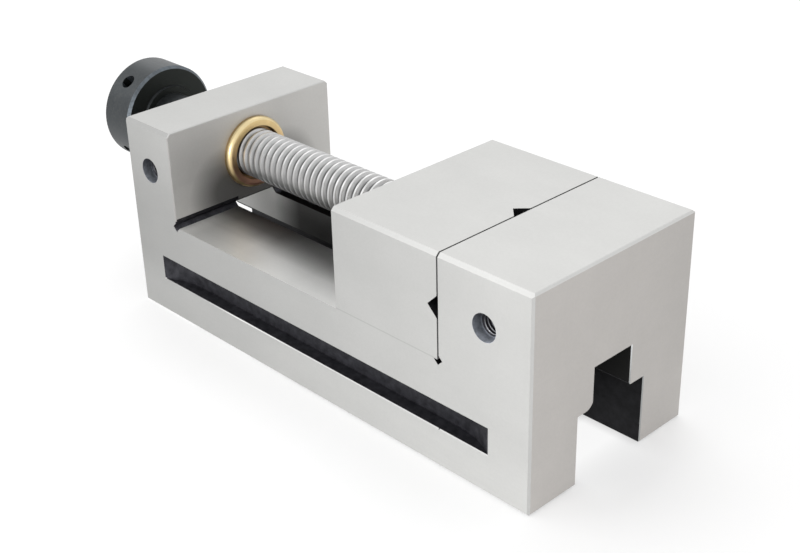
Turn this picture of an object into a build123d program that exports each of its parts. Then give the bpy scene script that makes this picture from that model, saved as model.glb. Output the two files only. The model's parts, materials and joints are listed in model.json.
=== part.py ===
from build123d import *
from math import cos, radians, sin, sqrt
import os

# Toolmakers vise, sizes in millimetres
# X runs along the spindle from the knob to the fixed jaw, Z is up,
# the base stands at Z = 0 and the origin lies under the middle of the whole vise

# Body block
body_l = 190.0          # along the spindle
body_w = 73.0
body_h = 73.0
jaw_h = 35.0            # jaws above the bed
end_t = 25.0            # end block
fixed_t = 36.0          # fixed jaw
jaw_l = 45.0            # sliding jaw
relief_w = 2.5          # 45 degree relief cut in the two bed corners
relief_depth = 1.2
top_bevel = 1.2         # long top edges
edge_bevel = 0.7        # other outer edges
lip_bevel = 0.3         # lips of slots and openings, gripping edges

# Underside channel and guide slot
slot_w = 17.2           # guide slot, open through the bed
slot_roof = 0.5         # its roof above the bed in the two ends of the block
slot_lip = 1.6          # 45 degree bevels along the open bed
channel_w = 30.8        # wide lower part
ledge_z = 24.6          # underside of the ledges
ledge_round = 3.5       # ground-off ledge corner on one side
ledge_break = 0.5       # the other ledge corner

# Clamping slots in both sides, cut with a disc cutter
side_slot_z = 18.4
side_slot_h = 9.2
side_slot_depth = 5.0
side_slot_rear = 14.2   # from the rear face to the slot's end
side_slot_front = 15.9  # from the front face
cutter_d = 60.0

# M8 side holes, without their threads
side_hole_front = 17.8  # from the front face
side_hole_rear = 12.4   # from the rear face
side_thread_d = 8.0
side_thread_l = 14.0
mouth_d = 9.0
mouth_depth = 3.5

# Spindle and nut
spindle_up = 18.0       # axis above the bed
thread_d = 17.8         # over the crests
nut_body_d = 22.0
flange_d = 26.4
flange_t = 3.0
flange_bevel = 1.2
nut_mouth_d = 19.8
nut_mouth_depth = 2.0
nut_rear_gap = 0.5      # the nut's rear end lies inside the block
thread_gap = 0.1        # radial, nut to crests
seat_gap = 0.02         # radial, pressed nut to block

# Spindle nose in the sliding jaw
nose_d = 14.0
nose_gap = 0.05         # radial, nose in its bore
nose_l = 24.0           # depth of the bore in the jaw
shoulder_gap = 4.0      # thread's end to the jaw
button_d = 13.0         # hardened button between nose and bore
button_t = 4.0
button_gap = 0.05       # spindle end to the button
neck_d = 8.0
neck_in = 12.0          # neck's middle behind the jaw's rear face
pin_d = 3.0
pin_l = 40.0
pin_gap = 0.05

# Knob
knob_d = 38.8
knob_t = 16.0
knob_gap = 26.0         # knob to end block with the jaws closed
knob_bevel = 1.0
hub_d = 24.0
hub_t = 1.0
knob_neck_d = 18.6      # sleeve over the spindle, up to the end block
knob_neck_gap = 1.0     # its end to the block with the jaws closed
knob_seat_d = 14.0
knob_seat_gap = 0.03
knob_recess = 0.5       # spindle end below the knob's face
tommy_d = 5.5
tommy_depth = 9.5
tommy_turn = 38.5       # degrees, first hole from straight up towards the front side
tommy_count = 4
knob_screw_d = 6.0
knob_screw_l = 8.0
knob_flat = 0.6         # depth of the flat under the screw
screw_gap = 0.05        # radial, screws in their holes

# Nut locking screw
lock_d = 5.0
lock_l = 6.0
lock_dimple = 0.5

# Sliding jaw and keeper
v_w = 8.0               # 90 degree grooves, as deep as half their width
guide_gap = 0.05        # each side of the tenon
keeper_gap = 0.05       # under the ledges
tenon_back = 6.0        # tenon behind the gripping face
keeper_l = 38.0
keeper_t = 9.0
keeper_side = 0.4       # each side in the channel
keeper_bevel = 0.5
keeper_screw_d = 6.0
keeper_screw_l = 25.0
keeper_hole_d = 6.6
keeper_pitch = 22.0     # between the two screws
head_d = 10.0
head_h = 6.0
washer_d = 12.0
washer_t = 1.6
tap_runout = 2.0        # tapped hole below the screw's tip

# Places that follow from the sizes
front_x = (body_l + knob_gap + knob_t) / 2
rear_x = front_x - body_l
end_face_x = rear_x + end_t
fixed_face_x = front_x - fixed_t
jaw_rear_x = fixed_face_x - jaw_l
knob_front_x = rear_x - knob_gap
knob_rear_x = knob_front_x - knob_t
bed_z = body_h - jaw_h
axis_z = bed_z + spindle_up
roof_z = bed_z + slot_roof
tenon_bottom = ledge_z - keeper_gap
keeper_bottom = tenon_bottom - keeper_t
spindle_axis = Axis((0, 0, axis_z), (1, 0, 0))


def side_plane(x, side):
    """Plane on a side face at the height of the spindle."""
    return Plane(origin=(x, side * body_w / 2, axis_z), z_dir=(0, side, 0))


# Body: bed, fixed jaw and end block in one
cutter_r = cutter_d / 2
cutter_run = sqrt(cutter_r**2 - (cutter_r - side_slot_depth) ** 2)
slot_start = rear_x + side_slot_rear
slot_end = front_x - side_slot_front
cutter_y = body_w / 2 - side_slot_depth + cutter_r

with BuildPart() as vise_body:
    with BuildSketch(Plane.XZ):
        with BuildLine():
            Polyline(
                (rear_x, 0),
                (front_x, 0),
                (front_x, body_h),
                (fixed_face_x, body_h),
                (fixed_face_x, bed_z),
                (end_face_x, bed_z),
                (end_face_x, body_h),
                (rear_x, body_h),
                close=True,
            )
        make_face()
    extrude(amount=body_w / 2, both=True)

    # Bevels
    chamfer(vise_body.edges().filter_by(Axis.X).group_by(Axis.Z)[-1], top_bevel)
    outer = vise_body.edges().filter_by(Axis.Y)
    chamfer(outer.group_by(Axis.X)[0] + outer.group_by(Axis.X)[-1], edge_bevel)
    chamfer(vise_body.edges().filter_by(Axis.X).group_by(Axis.Z)[0], edge_bevel)
    upright = vise_body.edges().filter_by(Axis.Z)
    chamfer(upright.group_by(Axis.X)[0] + upright.group_by(Axis.X)[-1], edge_bevel)
    inner_faces = vise_body.faces().filter_by(Axis.X).sort_by(Axis.X)[1:3]
    chamfer([edge for face in inner_faces for edge in face.edges().sort_by(Axis.Z)[1:]], lip_bevel)

    # Relief cuts in the two bed corners
    with BuildSketch(Plane.XZ):
        with Locations((fixed_face_x, bed_z)):
            with Locations(Rotation(0, 0, -45)):
                with Locations((relief_depth - relief_w, 0)):
                    Rectangle(2 * relief_w, relief_w)
        with Locations((end_face_x, bed_z)):
            with Locations(Rotation(0, 0, -135)):
                with Locations((relief_depth - relief_w, 0)):
                    Rectangle(2 * relief_w, relief_w)
    extrude(amount=body_w / 2, both=True, mode=Mode.SUBTRACT)

    # Guide slot and channel, open at both ends
    with BuildSketch(Plane.YZ) as channel:
        with Locations((0, roof_z / 2)):
            Rectangle(slot_w, roof_z)
        with Locations((0, ledge_z / 2)):
            Rectangle(channel_w, ledge_z)
        corners = channel.vertices().group_by(Axis.Y)[1].sort_by(Axis.X)
        fillet(corners[1], ledge_round)
        corners = channel.vertices().group_by(Axis.Y)[1].sort_by(Axis.X)
        fillet(corners[-2], ledge_break)
    extrude(amount=body_l, both=True, mode=Mode.SUBTRACT)
    foot_edges = vise_body.edges().filter_by(Axis.X).group_by(Axis.Z)[0].sort_by(Axis.Y)
    chamfer(foot_edges[1:-1], lip_bevel)

    # Bevelled lips of the slot in the bed
    with BuildSketch(Plane.YZ.offset(end_face_x)):
        with BuildLine():
            Polyline(
                (-slot_w / 2, bed_z - slot_lip),
                (-slot_w / 2 - slot_lip, bed_z),
                (slot_w / 2 + slot_lip, bed_z),
                (slot_w / 2, bed_z - slot_lip),
                close=True,
            )
        make_face()
    extrude(amount=fixed_face_x - end_face_x, mode=Mode.SUBTRACT)

    # Bevelled upright edges where slot and channel open in the two end faces
    for end_x, inner_x in ((rear_x, rear_x + lip_bevel), (front_x, front_x - lip_bevel)):
        for width, low_z, high_z in ((channel_w, 0, ledge_z), (slot_w, ledge_z, roof_z)):
            with BuildSketch(Plane.XY.offset(low_z)):
                with BuildLine():
                    Polyline(
                        (end_x, -width / 2 - lip_bevel),
                        (end_x, width / 2 + lip_bevel),
                        (inner_x, width / 2),
                        (inner_x, -width / 2),
                        close=True,
                    )
                make_face()
            extrude(amount=high_z - low_z, mode=Mode.SUBTRACT)

    # Clamping slots
    with BuildSketch(Plane.XY.offset(side_slot_z - side_slot_h / 2)):
        with Locations(((slot_start + slot_end) / 2, cutter_y), ((slot_start + slot_end) / 2, -cutter_y)):
            SlotCenterToCenter(slot_end - slot_start - 2 * cutter_run, cutter_d)
    extrude(amount=side_slot_h, mode=Mode.SUBTRACT)
    for side_face in (0, -1):
        side_edges = vise_body.edges().filter_by(Axis.X).group_by(Axis.Y)[side_face]
        chamfer(side_edges.sort_by(Axis.Z)[1:3], lip_bevel)

    # Nut bore, its locking hole and the tapped side holes
    with Locations(Plane(origin=(end_face_x, 0, axis_z), z_dir=(1, 0, 0))):
        Hole(radius=nut_body_d / 2 + seat_gap, depth=end_t)
    with Locations(((rear_x + end_face_x) / 2, 0, roof_z)):
        Cylinder(
            lock_d / 2 + screw_gap,
            axis_z - roof_z,
            align=(Align.CENTER, Align.CENTER, Align.MIN),
            mode=Mode.SUBTRACT,
        )
    for side in (-1, 1):
        with Locations(side_plane(rear_x + side_hole_rear, side), side_plane(front_x - side_hole_front, side)):
            CounterBoreHole(
                radius=side_thread_d / 2,
                counter_bore_radius=mouth_d / 2,
                counter_bore_depth=mouth_depth,
                depth=mouth_depth + side_thread_l,
            )


# Sliding jaw with the tenon that runs in the guide slot
tenon_l = jaw_l - tenon_back
bore_bottom_x = jaw_rear_x + nose_l
pin_x = jaw_rear_x + neck_in
pin_y = neck_d / 2 + pin_gap + pin_d / 2
screw_mid_x = jaw_rear_x + keeper_l / 2
tap_l = keeper_screw_l - washer_t - keeper_t + tap_runout

with BuildPart() as movable_jaw:
    with Locations(((jaw_rear_x + fixed_face_x) / 2, 0, bed_z)):
        Box(jaw_l, body_w, jaw_h, align=(Align.CENTER, Align.CENTER, Align.MIN))
    chamfer(movable_jaw.edges().filter_by(Axis.X).group_by(Axis.Z)[-1], top_bevel)
    chamfer(movable_jaw.edges().group_by(Axis.X)[-1], lip_bevel)
    rear_edges = movable_jaw.faces().sort_by(Axis.X)[0].edges()
    chamfer(rear_edges.sort_by(Axis.Z)[1:], lip_bevel)
    with Locations((jaw_rear_x + tenon_l / 2, 0, tenon_bottom)):
        Box(
            tenon_l,
            slot_w - 2 * guide_gap,
            bed_z - tenon_bottom,
            align=(Align.CENTER, Align.CENTER, Align.MIN),
        )

    # Grooves for round work, upright and level
    with BuildSketch(Plane.XY.offset(bed_z)):
        with BuildLine():
            Polyline(
                (fixed_face_x, -v_w / 2),
                (fixed_face_x - v_w / 2, 0),
                (fixed_face_x, v_w / 2),
                close=True,
            )
        make_face()
    extrude(amount=jaw_h, mode=Mode.SUBTRACT)
    with BuildSketch(Plane.XZ):
        with BuildLine():
            Polyline(
                (fixed_face_x, bed_z + jaw_h / 2 - v_w / 2),
                (fixed_face_x - v_w / 2, bed_z + jaw_h / 2),
                (fixed_face_x, bed_z + jaw_h / 2 + v_w / 2),
                close=True,
            )
        make_face()
    extrude(amount=body_w / 2, both=True, mode=Mode.SUBTRACT)

    # Bore for the spindle's nose
    with Locations(Plane(origin=(jaw_rear_x, 0, axis_z), z_dir=(-1, 0, 0))):
        CounterSinkHole(
            radius=nose_d / 2 + nose_gap,
            counter_sink_radius=nose_d / 2 + nose_gap + edge_bevel,
            depth=nose_l,
            counter_sink_angle=90,
        )

    # Pin holes and tapped holes from below
    with Locations((pin_x, pin_y, tenon_bottom), (pin_x, -pin_y, tenon_bottom)):
        Cylinder(
            pin_d / 2 + seat_gap,
            pin_l + edge_bevel,
            align=(Align.CENTER, Align.CENTER, Align.MIN),
            mode=Mode.SUBTRACT,
        )
    with Locations(
        (screw_mid_x - keeper_pitch / 2, 0, tenon_bottom),
        (screw_mid_x + keeper_pitch / 2, 0, tenon_bottom),
    ):
        Cylinder(
            keeper_screw_d / 2 + screw_gap,
            tap_l,
            align=(Align.CENTER, Align.CENTER, Align.MIN),
            mode=Mode.SUBTRACT,
        )


# Keeper plate under the ledges, its screws and washers
with BuildPart() as keeper_plate:
    with Locations((jaw_rear_x + keeper_l / 2, 0, keeper_bottom)):
        Box(
            keeper_l,
            channel_w - 2 * keeper_side,
            keeper_t,
            align=(Align.CENTER, Align.CENTER, Align.MIN),
        )
    chamfer(keeper_plate.edges().filter_by(Axis.Z), keeper_bevel)
    chamfer(keeper_plate.edges().group_by(Axis.Z)[0], keeper_bevel)
    with Locations(
        (screw_mid_x - keeper_pitch / 2, 0, tenon_bottom),
        (screw_mid_x + keeper_pitch / 2, 0, tenon_bottom),
    ):
        Hole(radius=keeper_hole_d / 2, depth=keeper_t)


def keeper_washer(x):
    """Plain washer under a screw head."""
    with BuildPart() as washer:
        with BuildSketch(Plane.XY.offset(keeper_bottom - washer_t)):
            with Locations((x, 0)):
                Circle(washer_d / 2)
                Circle(keeper_hole_d / 2, mode=Mode.SUBTRACT)
        extrude(amount=washer_t)
    return washer


def keeper_screw(x):
    """Socket head screw, head down."""
    seat_z = keeper_bottom - washer_t
    with BuildPart() as screw:
        with BuildSketch(Plane.XY.offset(seat_z - head_h)):
            with Locations((x, 0)):
                Circle(head_d / 2)
        extrude(amount=head_h)
        with BuildSketch(Plane.XY.offset(seat_z)):
            with Locations((x, 0)):
                Circle(keeper_screw_d / 2)
        extrude(amount=keeper_screw_l)
        with BuildSketch(Plane.XY.offset(seat_z - head_h)):
            with Locations((x, 0)):
                RegularPolygon(radius=head_d / 4, side_count=6, major_radius=False)
        extrude(amount=head_h / 2, mode=Mode.SUBTRACT)
    return screw


keeper_washer_rear = keeper_washer(screw_mid_x - keeper_pitch / 2)
keeper_washer_front = keeper_washer(screw_mid_x + keeper_pitch / 2)
keeper_screw_rear = keeper_screw(screw_mid_x - keeper_pitch / 2)
keeper_screw_front = keeper_screw(screw_mid_x + keeper_pitch / 2)


def retaining_pin(side):
    """Dowel beside the spindle's neck, standing on the keeper plate."""
    with BuildPart() as pin:
        with Locations((pin_x, side * pin_y, tenon_bottom)):
            Cylinder(pin_d / 2, pin_l, align=(Align.CENTER, Align.CENTER, Align.MIN))
    return pin


retaining_pin_left = retaining_pin(1)
retaining_pin_right = retaining_pin(-1)


# Spindle, turned in one piece
spindle_end_x = bore_bottom_x - button_t - button_gap
thread_end_x = jaw_rear_x - shoulder_gap
thread_start_x = rear_x - knob_neck_gap
neck_w = pin_d + 2 * pin_gap + 2 * seat_gap
thread_bevel = (thread_d - nose_d) / 2

with BuildPart() as lead_screw:
    with BuildSketch(Plane.XZ):
        with BuildLine():
            Polyline(
                (knob_rear_x + knob_recess, axis_z),
                (knob_rear_x + knob_recess, axis_z + knob_seat_d / 2 - edge_bevel),
                (knob_rear_x + knob_recess + edge_bevel, axis_z + knob_seat_d / 2),
                (thread_start_x, axis_z + knob_seat_d / 2),
                (thread_start_x, axis_z + thread_d / 2),
                (thread_end_x - thread_bevel, axis_z + thread_d / 2),
                (thread_end_x, axis_z + nose_d / 2),
                (pin_x - neck_w / 2, axis_z + nose_d / 2),
                (pin_x - neck_w / 2, axis_z + neck_d / 2),
                (pin_x + neck_w / 2, axis_z + neck_d / 2),
                (pin_x + neck_w / 2, axis_z + nose_d / 2),
                (spindle_end_x - edge_bevel, axis_z + nose_d / 2),
                (spindle_end_x, axis_z + nose_d / 2 - edge_bevel),
                (spindle_end_x, axis_z),
                close=True,
            )
        make_face()
    revolve(axis=spindle_axis)

    # Flat under the knob's screw
    knob_mid_x = (knob_front_x + knob_rear_x) / 2
    screw_turn = radians(90 + tommy_turn + 360 / tommy_count * 1.5)
    screw_dir = (0, cos(screw_turn), sin(screw_turn))
    flat_r = knob_seat_d / 2 - knob_flat
    with BuildSketch(
        Plane(
            origin=(knob_mid_x, screw_dir[1] * flat_r, axis_z + screw_dir[2] * flat_r),
            x_dir=(1, 0, 0),
            z_dir=screw_dir,
        )
    ):
        Rectangle(knob_screw_d + 2 * edge_bevel, knob_seat_d)
    extrude(amount=knob_flat * 2, mode=Mode.SUBTRACT)


# Hardened button at the bottom of the jaw's bore
with BuildPart() as thrust_button:
    with BuildSketch(Plane(origin=(bore_bottom_x, 0, axis_z), z_dir=(-1, 0, 0))):
        Circle(button_d / 2)
    extrude(amount=button_t)


# Brass nut, pressed into the end block with its flange on the inner face
with BuildPart() as spindle_nut:
    nut_r = thread_d / 2 + thread_gap
    with BuildSketch(Plane.XZ):
        with BuildLine():
            Polyline(
                (rear_x + nut_rear_gap, axis_z + nut_r),
                (rear_x + nut_rear_gap, axis_z + nut_body_d / 2),
                (end_face_x, axis_z + nut_body_d / 2),
                (end_face_x, axis_z + flange_d / 2),
                (end_face_x + flange_t - flange_bevel, axis_z + flange_d / 2),
                (end_face_x + flange_t, axis_z + flange_d / 2 - flange_bevel),
                (end_face_x + flange_t, axis_z + nut_mouth_d / 2),
                (end_face_x + flange_t - nut_mouth_depth, axis_z + nut_mouth_d / 2),
                (end_face_x + flange_t - nut_mouth_depth, axis_z + nut_r),
                close=True,
            )
        make_face()
    revolve(axis=spindle_axis)
    with Locations(((rear_x + end_face_x) / 2, 0, axis_z - nut_body_d / 2 + lock_dimple)):
        Cylinder(
            lock_d / 2 + screw_gap,
            lock_dimple * 4,
            align=(Align.CENTER, Align.CENTER, Align.MAX),
            mode=Mode.SUBTRACT,
        )


with BuildPart() as nut_set_screw:
    lock_tip_z = axis_z - nut_body_d / 2 + lock_dimple - screw_gap
    with Locations(((rear_x + end_face_x) / 2, 0, lock_tip_z)):
        Cylinder(lock_d / 2, lock_l, align=(Align.CENTER, Align.CENTER, Align.MAX))
    with BuildSketch(Plane.XY.offset(lock_tip_z - lock_l)):
        with Locations(((rear_x + end_face_x) / 2, 0)):
            RegularPolygon(radius=lock_d / 4, side_count=6, major_radius=False)
    extrude(amount=lock_l / 2, mode=Mode.SUBTRACT)


# Knob with four radial tommy-bar holes and a locking screw between two of them
with BuildPart() as knob:
    with BuildSketch(Plane.XZ):
        with BuildLine():
            Polyline(
                (knob_rear_x, axis_z + knob_seat_d / 2 + knob_seat_gap),
                (knob_rear_x, axis_z + knob_d / 2 - knob_bevel),
                (knob_rear_x + knob_bevel, axis_z + knob_d / 2),
                (knob_front_x - knob_bevel, axis_z + knob_d / 2),
                (knob_front_x, axis_z + knob_d / 2 - knob_bevel),
                (knob_front_x, axis_z + hub_d / 2),
                (knob_front_x + hub_t, axis_z + hub_d / 2 - lip_bevel),
                (knob_front_x + hub_t, axis_z + knob_neck_d / 2),
                (thread_start_x, axis_z + knob_neck_d / 2),
                (thread_start_x, axis_z + knob_seat_d / 2 + knob_seat_gap),
                close=True,
            )
        make_face()
    revolve(axis=spindle_axis)
    for index in range(tommy_count):
        turn = radians(90 + tommy_turn + 360 / tommy_count * index)
        rim = (0, cos(turn) * knob_d / 2, sin(turn) * knob_d / 2)
        with Locations(
            Plane(origin=(knob_mid_x, rim[1], axis_z + rim[2]), z_dir=(0, cos(turn), sin(turn)))
        ):
            Hole(radius=tommy_d / 2, depth=tommy_depth)
    with Locations(
        Plane(
            origin=(knob_mid_x, screw_dir[1] * knob_d / 2, axis_z + screw_dir[2] * knob_d / 2),
            z_dir=screw_dir,
        )
    ):
        Hole(radius=knob_screw_d / 2 + screw_gap, depth=knob_d / 2 - flat_r + knob_flat)


with BuildPart() as knob_set_screw:
    screw_top_r = flat_r + screw_gap + knob_screw_l
    with BuildSketch(
        Plane(
            origin=(knob_mid_x, screw_dir[1] * screw_top_r, axis_z + screw_dir[2] * screw_top_r),
            x_dir=(1, 0, 0),
            z_dir=screw_dir,
        )
    ):
        Circle(knob_screw_d / 2)
    extrude(amount=-knob_screw_l)
    with BuildSketch(
        Plane(
            origin=(knob_mid_x, screw_dir[1] * screw_top_r, axis_z + screw_dir[2] * screw_top_r),
            x_dir=(1, 0, 0),
            z_dir=screw_dir,
        )
    ):
        RegularPolygon(radius=knob_screw_d / 4, side_count=6, major_radius=False)
    extrude(amount=-knob_screw_l / 2, mode=Mode.SUBTRACT)


pieces = {
    "vise_body": vise_body,
    "movable_jaw": movable_jaw,
    "keeper_plate": keeper_plate,
    "keeper_screw_front": keeper_screw_front,
    "keeper_screw_rear": keeper_screw_rear,
    "keeper_washer_front": keeper_washer_front,
    "keeper_washer_rear": keeper_washer_rear,
    "retaining_pin_left": retaining_pin_left,
    "retaining_pin_right": retaining_pin_right,
    "thrust_button": thrust_button,
    "lead_screw": lead_screw,
    "spindle_nut": spindle_nut,
    "nut_set_screw": nut_set_screw,
    "knob": knob,
    "knob_set_screw": knob_set_screw,
}

os.makedirs("parts", exist_ok=True)
for name, piece in pieces.items():
    piece.part.label = name
    export_step(piece.part, f"parts/{name}.step")
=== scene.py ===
"""Toolmakers vise: finishes, cut threads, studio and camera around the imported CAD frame."""

import json
from math import cos, pi, radians, sin

import bmesh
import bpy
from mathutils import Matrix, Vector


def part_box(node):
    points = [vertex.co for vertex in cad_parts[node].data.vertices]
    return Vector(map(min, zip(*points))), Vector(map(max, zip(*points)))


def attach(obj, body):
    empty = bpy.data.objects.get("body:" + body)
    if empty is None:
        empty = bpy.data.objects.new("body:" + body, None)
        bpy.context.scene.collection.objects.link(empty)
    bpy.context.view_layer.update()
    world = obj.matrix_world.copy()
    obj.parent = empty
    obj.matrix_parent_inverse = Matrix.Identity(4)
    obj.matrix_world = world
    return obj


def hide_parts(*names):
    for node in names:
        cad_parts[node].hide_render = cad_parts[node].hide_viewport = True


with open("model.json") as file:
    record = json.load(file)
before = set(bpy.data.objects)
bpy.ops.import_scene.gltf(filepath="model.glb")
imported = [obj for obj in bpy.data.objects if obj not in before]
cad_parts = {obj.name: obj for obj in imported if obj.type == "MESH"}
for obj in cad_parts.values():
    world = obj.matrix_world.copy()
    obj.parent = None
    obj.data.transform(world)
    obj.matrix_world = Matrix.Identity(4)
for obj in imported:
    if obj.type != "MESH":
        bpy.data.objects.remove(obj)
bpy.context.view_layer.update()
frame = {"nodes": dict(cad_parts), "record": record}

MM = 0.001

# Places and sizes read from the frame, in millimetres
body_lo, body_hi = (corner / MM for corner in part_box("vise_body"))
jaw_lo, jaw_hi = (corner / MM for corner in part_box("movable_jaw"))
spindle_lo, spindle_hi = (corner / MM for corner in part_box("lead_screw"))
nut_lo, nut_hi = (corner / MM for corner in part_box("spindle_nut"))
knob_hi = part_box("knob")[1] / MM
mounts = {mount["name"]: mount for mount in frame["record"]["mounts"]}
taps = {name: mount for name, mount in mounts.items() if name.startswith("side_thread_")}
tap_axes = sorted({(mount["pos_m"][0] / MM, mount["pos_m"][2] / MM) for mount in taps.values()})
coupling = frame["record"]["behaviour"]["couplings"][0]

JAW_HEIGHT = 35.0
END_BLOCK = 25.0
AXIS_Z = (spindle_lo.z + spindle_hi.z) / 2
FIXED_FACE_X = jaw_hi.x
JAW_REAR_X = jaw_lo.x
BED_Z = body_hi.z - JAW_HEIGHT
END_FACE_X = body_lo.x + END_BLOCK

# Spindle
PITCH = 2 * pi / coupling["ratio"] / MM
THREAD_DEPTH = 1.6
CREST_R = (spindle_hi.z - spindle_lo.z) / 2
ROOT_R = CREST_R - THREAD_DEPTH
CREST_W = 1.0
FLANK_W = 0.48
CREST_BEVEL = 0.14
THREAD_START_X = knob_hi.x
THREAD_STOP = 4.0
THREAD_END_X = JAW_REAR_X - THREAD_STOP
SEAT_R = 7.0
NECK_R = 4.0
NECK_DEPTH = 12.0
NECK_X = JAW_REAR_X + NECK_DEPTH
NECK_HALF = 1.57
EDGE_BEVEL = 0.7

# Nut
NUT_GAP = 0.12
NUT_BODY_R = 11.0
FLANGE_R = (nut_hi.z - nut_lo.z) / 2
FLANGE_WIDTH = 3.0
FLANGE_BACK_X = nut_hi.x - FLANGE_WIDTH
MOUTH_R = 9.9
MOUTH_DEPTH = 2.0
FLANGE_ROUND = 1.9
ROUND_STEPS = 6
LIP_BEVEL = 0.3

# Tapped side holes, TAP_RUN_IN is the slope at which the thread starts
TAP_PITCH = 1.25
TAP_CREST_R = 3.4
TAP_ROOT_R = 3.97
TAP_OUTER_R = 4.04
TAP_FLAT = 0.08
TAP_INSET = 0.02
TAP_RUN_IN = 5.0
HOLE_MOUTH_R = 4.54

# Meshes: steps round a circle, and the sizes below which points and faces are dropped
STEPS = 48
SAME_PLACE = 1e-4
NO_AREA = 1e-7
SMOOTH_ANGLE = 30.0

# Slots, channel and grooves, SKIN and HAIR keep a mask off the faces beside it
SKIN = 0.02
HAIR = 0.01
RIM = LIP_BEVEL + SKIN
SLOT_HALF = 8.61
CHANNEL_HALF = 15.42
LEDGE_Z = 24.62
LEDGE_ROUND_Y = (-12.12, -8.63)
LEDGE_ROUND_TOP = 28.12
LEDGE_BREAK_Y = (8.4, 9.3)
LEDGE_BREAK_Z = (LEDGE_Z - 0.3, 25.3)
CLAMP_SLOT_Z = 18.4
CLAMP_SLOT_HALF = 4.61
CLAMP_SLOT_DEPTH = 6.0
CLAMP_RIM_DEPTH = 1.0
CLAMP_RIM_BELOW = 0.4
CLAMP_RIM_ABOVE = 0.5
CLAMP_REAR_END = 3.0
CLAMP_FRONT_END = 5.0
RELIEF_REACH = 2.2
RELIEF_HEIGHT = 2.85
RELIEF_SIDE = 0.4
BRIDGE_DEPTH = 3.5
BRIDGE_HEIGHT = 3.0
SLOT_ROOF = 0.55
SLOT_LIP_Y = 10.3
SLOT_LIP_DEPTH = 1.7
GROOVE_HALF = 3.98
GROOVE_DEPTH = 4.1
GROOVE_HEIGHT = 17.5
BODY_SEAM = 0.2
JAW_SEAM = 0.31


# Meshes


def mesh_object(name, bm):
    """Finished mesh object from a bmesh in millimetres."""
    bmesh.ops.remove_doubles(bm, verts=bm.verts, dist=SAME_PLACE)
    bmesh.ops.dissolve_degenerate(bm, edges=bm.edges, dist=SAME_PLACE)
    loose = [vert for vert in bm.verts if not vert.link_faces]
    bmesh.ops.delete(bm, geom=loose, context="VERTS")
    bmesh.ops.recalc_face_normals(bm, faces=bm.faces)
    bmesh.ops.scale(bm, vec=(MM, MM, MM), verts=bm.verts)
    mesh = bpy.data.meshes.new(name)
    bm.to_mesh(mesh)
    bm.free()
    mesh.shade_smooth()
    mesh.set_sharp_from_angle(angle=radians(SMOOTH_ANGLE))
    piece = bpy.data.objects.new(name, mesh)
    bpy.context.scene.collection.objects.link(piece)
    return piece


def add_lathe(bm, profile):
    """Surface turned round the X axis from (x, radius) points."""
    angles = [2 * pi * step / STEPS for step in range(STEPS)]
    rings = []
    for x, radius in profile:
        if radius <= 0:
            rings.append([bm.verts.new((x, 0, 0))] * STEPS)
            continue
        rings.append([bm.verts.new((x, radius * cos(a), radius * sin(a))) for a in angles])
    for ring, following in zip(rings, rings[1:]):
        for step in range(STEPS):
            after = (step + 1) % STEPS
            corners = [ring[step], ring[after], following[after], following[step]]
            unique = list(dict.fromkeys(corners))
            if len(unique) > 2:
                bm.faces.new(unique)


def add_helix(bm, start_x, end_x, pitch, turn_profile, limit):
    """Thread surface between two planes.

    turn_profile holds the (x, radius) points of one turn, and limit(x, radius) trims both ends.
    """
    first = int(start_x / pitch) - 3
    last = int(end_x / pitch) + 3
    per_turn = len(turn_profile)
    rows = []
    for step in range(STEPS):
        angle = 2 * pi * step / STEPS
        row = []
        for turn in range(first, last + 1):
            for along, radius in turn_profile:
                x = pitch * (turn + step / STEPS) + along
                x = min(max(x, start_x), end_x)
                r = limit(x, radius)
                row.append(bm.verts.new((x, r * cos(angle), r * sin(angle))))
        rows.append(row)
    # The last row meets the first one, a turn further on
    rows.append(rows[0][per_turn:])
    for row, following in zip(rows, rows[1:]):
        for index in range(min(len(row), len(following)) - 1):
            bm.faces.new([row[index], following[index], following[index + 1], row[index + 1]])
    outside = [face for face in bm.faces if face.calc_area() < NO_AREA]
    bmesh.ops.delete(bm, geom=outside, context="FACES_ONLY")


def shift(bm, x=0.0, y=0.0, z=0.0):
    """Moves a whole bmesh."""
    bmesh.ops.translate(bm, verts=bm.verts, vec=(x, y, z))


def make_spindle():
    """Spindle with its cut thread, neck and nose."""
    half_crest = CREST_W / 2
    turn_profile = [
        (-half_crest + CREST_BEVEL, CREST_R),
        (half_crest - CREST_BEVEL, CREST_R),
        (half_crest, CREST_R - CREST_BEVEL),
        (half_crest + FLANK_W, ROOT_R),
        (PITCH - half_crest - FLANK_W, ROOT_R),
        (PITCH - half_crest, CREST_R - CREST_BEVEL),
    ]

    def limit(x, radius):
        return min(radius, ROOT_R + min(x - THREAD_START_X, THREAD_END_X - x))

    knob_seat = [
        (spindle_lo.x, 0),
        (spindle_lo.x, SEAT_R - EDGE_BEVEL),
        (spindle_lo.x + EDGE_BEVEL, SEAT_R),
        (THREAD_START_X, SEAT_R),
        (THREAD_START_X, ROOT_R),
    ]
    nose = [
        (THREAD_END_X, ROOT_R),
        (THREAD_END_X, SEAT_R),
        (NECK_X - NECK_HALF, SEAT_R),
        (NECK_X - NECK_HALF, NECK_R),
        (NECK_X + NECK_HALF, NECK_R),
        (NECK_X + NECK_HALF, SEAT_R),
        (spindle_hi.x - EDGE_BEVEL, SEAT_R),
        (spindle_hi.x, SEAT_R - EDGE_BEVEL),
        (spindle_hi.x, 0),
    ]
    bm = bmesh.new()
    add_helix(bm, THREAD_START_X, THREAD_END_X, PITCH, turn_profile, limit)
    add_lathe(bm, knob_seat)
    add_lathe(bm, nose)
    shift(bm, z=AXIS_Z)
    return mesh_object("spindle_thread", bm)


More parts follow.
